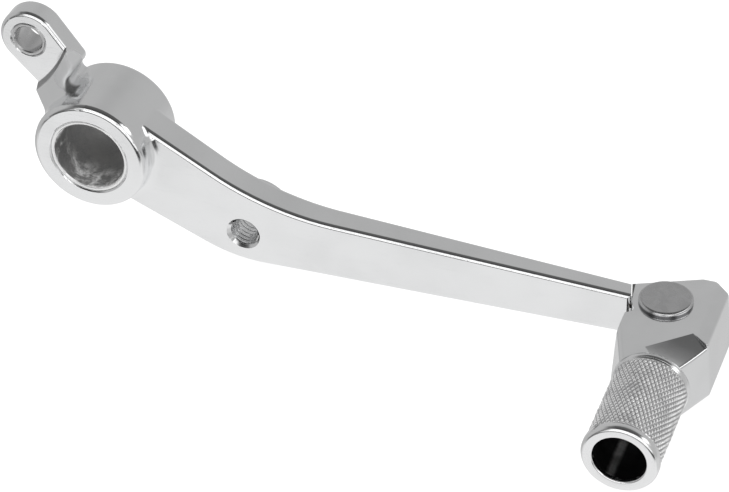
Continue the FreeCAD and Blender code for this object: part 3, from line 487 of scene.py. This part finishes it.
class PegMesh:
    """Builds the peg as one closed skin: lathe rings, with the knurl as a net of diamonds."""

    def __init__(self, axis, columns):
        self.axis = axis
        self.columns = columns
        self.points = []
        self.heights = []
        self.faces = []
        self.skins = []
        self.last = None

    def add_row(self, points, heights=None):
        start = len(self.points)
        self.points += points
        self.heights += heights or [SMOOTH_HEIGHT] * len(points)
        return [start + i for i in range(len(points))]

    def lathe(self, profile, skin):
        """Adds rings for (radius, y) points, joined to whatever ring came before."""
        for radius, y in profile:
            row = self.add_row(ring_of(radius, y, self.axis, self.columns))
            if self.last:
                for i in range(self.columns):
                    j = (i + 1) % self.columns
                    self.faces.append((self.last[i], self.last[j], row[j], row[i]))
                    self.skins.append(skin)
            self.last = row

    def knurl(self, middle, start, end, skin):
        """A band of diamonds from y = start to y = end, from the last ring to a new one."""
        half = 2 * KNURL_STEPS
        rows = 2 * round((start - end) / KNURL_PITCH_ALONG * half / 2)
        step = (start - end) / rows
        turn = 2 * math.pi / (2 * self.columns)
        grid = [self.last]
        for j in range(1, rows):
            y = start - j * step
            fade = min(1.0, (start - y) / KNURL_FADE, (y - end) / KNURL_FADE)
            points, heights = [], []
            for i in range(self.columns):
                column = 2 * i + j % 2
                angle = column * turn
                rubbed = noise.noise(Vector((3 * math.cos(angle), y / KNURL_WEAR,
                                             3 * math.sin(angle))))
                tip = KNURL_TIP - KNURL_RUBBED * rubbed
                height = min(knurl_height(column / half, j / half), tip)
                height = 0.5 + (height - 0.5) * fade
                radius = middle + KNURL_DEPTH * (height - 0.5)
                points.append(Vector((self.axis[0] + radius * math.cos(angle), y,
                                      self.axis[1] + radius * math.sin(angle))))
                heights.append(height)
            grid.append(self.add_row(points, heights))
        grid.append(self.add_row(ring_of(middle, end, self.axis, self.columns)))
        self.net(grid, skin)
        self.last = grid[-1]

    def net(self, grid, skin):
        """Diamonds over three rows at a time, and triangles that close the two ends."""
        n = self.columns
        for j in range(1, len(grid) - 1):
            for i in range(n):
                across = (i + 1) % n
                side = across if j % 2 else i
                self.faces.append((grid[j][i], grid[j - 1][side], grid[j][across], grid[j + 1][side]))
                self.skins.append(skin)
        for i in range(n):
            across = (i + 1) % n
            self.faces.append((grid[0][i], grid[0][across], grid[1][i]))
            self.faces.append((grid[-1][across], grid[-1][i], grid[-2][i]))
            self.skins += [skin, skin]

    def close(self, skin):
        """Joins the last ring back to the first."""
        n = self.columns
        for i in range(n):
            j = (i + 1) % n
            self.faces.append((self.last[i], self.last[j], j, i))
            self.skins.append(skin)


def arc(centre, radius, start, end, steps):
    """(radius, y) points on an arc; angles in degrees, 0 is outwards and 90 is +Y."""
    return [(centre[0] + radius * math.cos(math.radians(start + (end - start) * i / steps)),
             centre[1] + radius * math.sin(math.radians(start + (end - start) * i / steps)))
            for i in range(steps + 1)]


def knurled_peg():
    """The toe peg: spigot, collar, knurl, smooth lip and bore, turned about its own axis."""
    low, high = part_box("toe_peg")
    block_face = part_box("toe_block")[0].y
    screw_low, screw_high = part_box("peg_screw")
    head_radius = (screw_high.x - screw_low.x) / 2
    axis = ((low.x + high.x) / 2, (low.z + high.z) / 2)
    outer = (high.x - low.x) / 2
    bore = outer - PEG_WALL
    floor_y = block_face - PEG_FLOOR
    mesh = PegMesh(axis, KNURL_STARTS * KNURL_STEPS)
    middle = outer - KNURL_TIP_INSET - KNURL_DEPTH / 2
    collar_end = block_face - COLLAR_LENGTH
    lip_start = low.y + LIP_LENGTH
    mesh.lathe([(PEG_SCREW_HOLE_R, high.y), (PEG_SPIGOT_R, high.y), (PEG_SPIGOT_R, block_face),
                (outer - PEG_EDGE, block_face)], SMOOTH)
    mesh.lathe(arc((outer - PEG_EDGE, block_face - PEG_EDGE), PEG_EDGE, 75, 0, 4), SMOOTH)
    mesh.lathe([(outer, collar_end + 0.5 * MM), (outer - 0.15 * MM, collar_end + 0.28 * MM),
                (middle - KNURL_SINK, collar_end + KNURL_SINK), (middle, collar_end)], SMOOTH)
    mesh.knurl(middle, collar_end, lip_start, KNURLED)
    mesh.lathe([(middle - KNURL_SINK, lip_start - KNURL_SINK),
                (outer - 0.2 * MM, lip_start - 0.35 * MM)], SMOOTH)
    mesh.lathe(arc((outer - LIP_BACK_ROUND, lip_start - 0.65 * MM), LIP_BACK_ROUND, 60, 0, 4), SMOOTH)
    mesh.lathe(arc((outer - LIP_ROUND, low.y + LIP_ROUND), LIP_ROUND, 0, -90, 10), SMOOTH)
    mesh.lathe(arc((bore + MOUTH_ROUND, low.y + MOUTH_ROUND), MOUTH_ROUND, -90, -180, 6), SMOOTH)
    mesh.lathe([(bore, low.y + 1.2 * MM)], SMOOTH)
    mesh.lathe([(bore, floor_y), (head_radius, floor_y), (PEG_SCREW_HOLE_R, floor_y)], BORED)
    mesh.close(SMOOTH)
    data = bpy.data.meshes.new("toe_peg_knurled")
    data.from_pydata([tuple(p) for p in mesh.points], [], mesh.faces)
    for material in (turned_aluminium(), bored_aluminium(axis[0]), knurled_aluminium()):
        data.materials.append(material)
    for polygon, skin in zip(data.polygons, mesh.skins):
        polygon.material_index = skin
        polygon.use_smooth = True
    tips = data.attributes.new("knurl_height", "FLOAT", "POINT")
    tips.data.foreach_set("value", mesh.heights)
    shell = bmesh.new()
    shell.from_mesh(data)
    bmesh.ops.recalc_face_normals(shell, faces=shell.faces)
    shell.to_mesh(data)
    shell.free()
    peg = bpy.data.objects.new("toe_peg_knurled", data)
    bpy.context.scene.collection.objects.link(peg)
    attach(peg, "toe")
    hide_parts("toe_peg")


# ------------------------------------------------------------------ the fold spring
def twisting_spring():
    """The spring again: a copy of the CAD spring's mesh in the same place, with the CAD spring
    hidden.
    """
    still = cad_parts["fold_spring"]
    spring = bpy.data.objects.new("fold_spring_twisting", still.data.copy())
    spring.matrix_world = still.matrix_world
    bpy.context.scene.collection.objects.link(spring)
    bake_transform(spring)
    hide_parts("fold_spring")


# ------------------------------------------------------------------ stage
def build_floor():
    low = cad_box[0].z
    size = FLOOR_HALF
    data = bpy.data.meshes.new("floor")
    data.from_pydata([(-size, -size, low), (size, -size, low), (size, size, low), (-size, size, low)],
                     [], [(0, 1, 2, 3)])
    data.materials.append(pale_floor())
    floor = bpy.data.objects.new("floor", data)
    bpy.context.scene.collection.objects.link(floor)
    floor.visible_glossy = False


class Sky:
    """Small helper for the world's node tree."""

    def __init__(self, world):
        self.tree = world.node_tree

    def math(self, operation, a, b=0.0):
        node = self.tree.nodes.new("ShaderNodeMath")
        node.operation = operation
        for socket, value in zip(node.inputs, (a, b)):
            if isinstance(value, bpy.types.NodeSocket):
                self.tree.links.new(value, socket)
            else:
                socket.default_value = value
        return node.outputs[0]

    def share(self, value, low, high):
        """0 at low, 1 at high, and straight in between."""
        node = self.tree.nodes.new("ShaderNodeMapRange")
        node.inputs["From Min"].default_value = low
        node.inputs["From Max"].default_value = high
        self.tree.links.new(value, node.inputs["Value"])
        return node.outputs["Result"]

    def zones(self, share, levels):
        """Grey levels at angles from -180 to 180 degrees, blended in between."""
        ramp = self.tree.nodes.new("ShaderNodeValToRGB")
        self.tree.links.new(share, ramp.inputs["Fac"])
        stops = ramp.color_ramp.elements
        while len(stops) < len(levels):
            stops.new(0.5)
        for stop, (degrees, level) in zip(stops, levels):
            stop.position = (degrees + 180) / 360
            stop.color = (level, level, level, 1)
        return ramp.outputs["Color"]

    def mix(self, factor, first, second):
        node = self.tree.nodes.new("ShaderNodeMix")
        node.data_type = "RGBA"
        self.tree.links.new(factor, node.inputs["Factor"])
        for name, value in (("A", first), ("B", second)):
            if isinstance(value, bpy.types.NodeSocket):
                self.tree.links.new(value, node.inputs[name])
            else:
                node.inputs[name].default_value = (value, value, value, 1)
        return node.outputs["Result"]


def studio_world():
    """Plain soft studio: white to the eye, with broad grey, white and dark zones in reflections.
    The angle that sets the zones goes round the X axis: 0 is level at the front, 90 is overhead.
    The white panel in front has dark gaps, the far left has no panel, and the ends fade to grey."""
    world = bpy.data.worlds.new("studio")
    world.use_nodes = True
    bpy.context.scene.world = world
    sky = Sky(world)
    tree = world.node_tree
    place = tree.nodes.new("ShaderNodeTexCoord").outputs["Generated"]
    split = tree.nodes.new("ShaderNodeSeparateXYZ")
    tree.links.new(place, split.inputs[0])
    x, y, z = split.outputs
    angle = sky.math("ARCTAN2", z, sky.math("MULTIPLY", y, -1.0))
    turn = sky.share(angle, -math.pi, math.pi)
    centre = sky.zones(turn, CENTRE_ZONES)
    left = sky.zones(turn, LEFT_ZONES)
    streaks = tree.nodes.new("ShaderNodeTexNoise")
    streaks.inputs["Scale"].default_value = 1.0
    streaks.inputs["Detail"].default_value = 2.0
    along = tree.nodes.new("ShaderNodeCombineXYZ")
    tree.links.new(sky.math("MULTIPLY", x, 5.0), along.inputs["X"])
    tree.links.new(sky.math("MULTIPLY", angle, 9.0), along.inputs["Y"])
    tree.links.new(along.outputs[0], streaks.inputs["Vector"])
    panel = sky.math("MULTIPLY", sky.share(angle, math.radians(-14), math.radians(-8)),
                     sky.share(angle, math.radians(48), math.radians(42)))
    gap = sky.math("MULTIPLY", panel, sky.share(streaks.outputs["Fac"], 0.54, 0.6))
    centre = sky.mix(gap, centre, GAP_LEVEL)
    level = sky.mix(sky.share(x, -0.55, -0.38), left, centre)
    level = sky.mix(sky.share(sky.math("ABSOLUTE", x), 0.62, 0.8), level, END_LEVEL)
    upper_right = sky.math("MULTIPLY", sky.share(x, 0.66, 0.74), sky.share(z, 0.34, 0.42))
    level = sky.mix(upper_right, level, UPPER_RIGHT_LEVEL)
    lower_right = sky.math("MULTIPLY", sky.share(x, 0.6, 0.75), sky.share(z, -0.2, -0.4))
    level = sky.mix(lower_right, level, LOWER_RIGHT_LEVEL)
    seen = tree.nodes.new("ShaderNodeLightPath")
    level = sky.mix(seen.outputs["Is Camera Ray"], level, 1.0)
    tree.links.new(level, tree.nodes["Background"].inputs["Color"])


def soft_light(name, place, size, power):
    """A square area light that looks at the object and is not seen in reflections."""
    data = bpy.data.lights.new(name, "AREA")
    data.shape = "SQUARE"
    data.size = size
    data.energy = power
    light = bpy.data.objects.new(name, data)
    bpy.context.scene.collection.objects.link(light)
    light.location = place
    light.rotation_euler = (VIEW_TARGET - Vector(place)).to_track_quat("-Z", "Y").to_euler()
    light.visible_glossy = False


def build_camera():
    """Looks at the target from the view's azimuth and elevation, turned by its roll."""
    az, el = math.radians(VIEW_AZIMUTH), math.radians(VIEW_ELEVATION)
    back = Vector((math.sin(az) * math.cos(el), -math.cos(az) * math.cos(el), math.sin(el)))
    right = (-back).cross(Vector((0, 0, 1))).normalized()
    up = right.cross(-back)
    roll = math.radians(VIEW_ROLL)
    side = right * math.cos(roll) + up * math.sin(roll)
    top = up * math.cos(roll) - right * math.sin(roll)
    data = bpy.data.cameras.new("camera")
    data.lens = LENS_MM
    data.sensor_width = SENSOR_MM
    camera = bpy.data.objects.new("camera", data)
    bpy.context.scene.collection.objects.link(camera)
    turn = Matrix((side, top, back)).transposed().to_4x4()
    camera.matrix_world = Matrix.Translation(VIEW_TARGET + back * VIEW_DISTANCE) @ turn
    bpy.context.scene.camera = camera


# ------------------------------------------------------------------ put together
def give(material, *names):
    """Puts one material on the named CAD nodes."""
    for name in names:
        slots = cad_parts[name].data.materials
        slots.clear()
        slots.append(material)


def dress():
    pin_low, pin_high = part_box("hinge_pin")
    pin_axis = ((pin_low.x + pin_high.x) / 2, (pin_low.y + pin_high.y) / 2, pin_high.z)
    give(polished_aluminium("polished_arm", machined_and_shade_in_arm, soft_neck), "lever_arm")
    give(polished_aluminium("polished_block", seam_shade_in_block, soft_everywhere), "toe_block")
    give(satin_steel(pin_axis), "hinge_pin")
    give(worn_bush_steel(PIVOT_BORE_R), "pivot_bush")
    give(bright_bush_steel(), "linkage_bush")
    give(bronze(), "hinge_bush", "upper_thrust_washer", "lower_thrust_washer")
    give(black_oxide_steel(), "peg_screw", "peg_washer", "pin_clip")
    give(zinc_steel(), "pin_washer")
    give(spring_steel(), "fold_spring")


bpy.context.scene.view_settings.view_transform = "Standard"
dress()
knurled_peg()
twisting_spring()
build_floor()
studio_world()
soft_light("overhead", LIGHT_PLACE, LIGHT_SIZE, LIGHT_POWER)
build_camera()
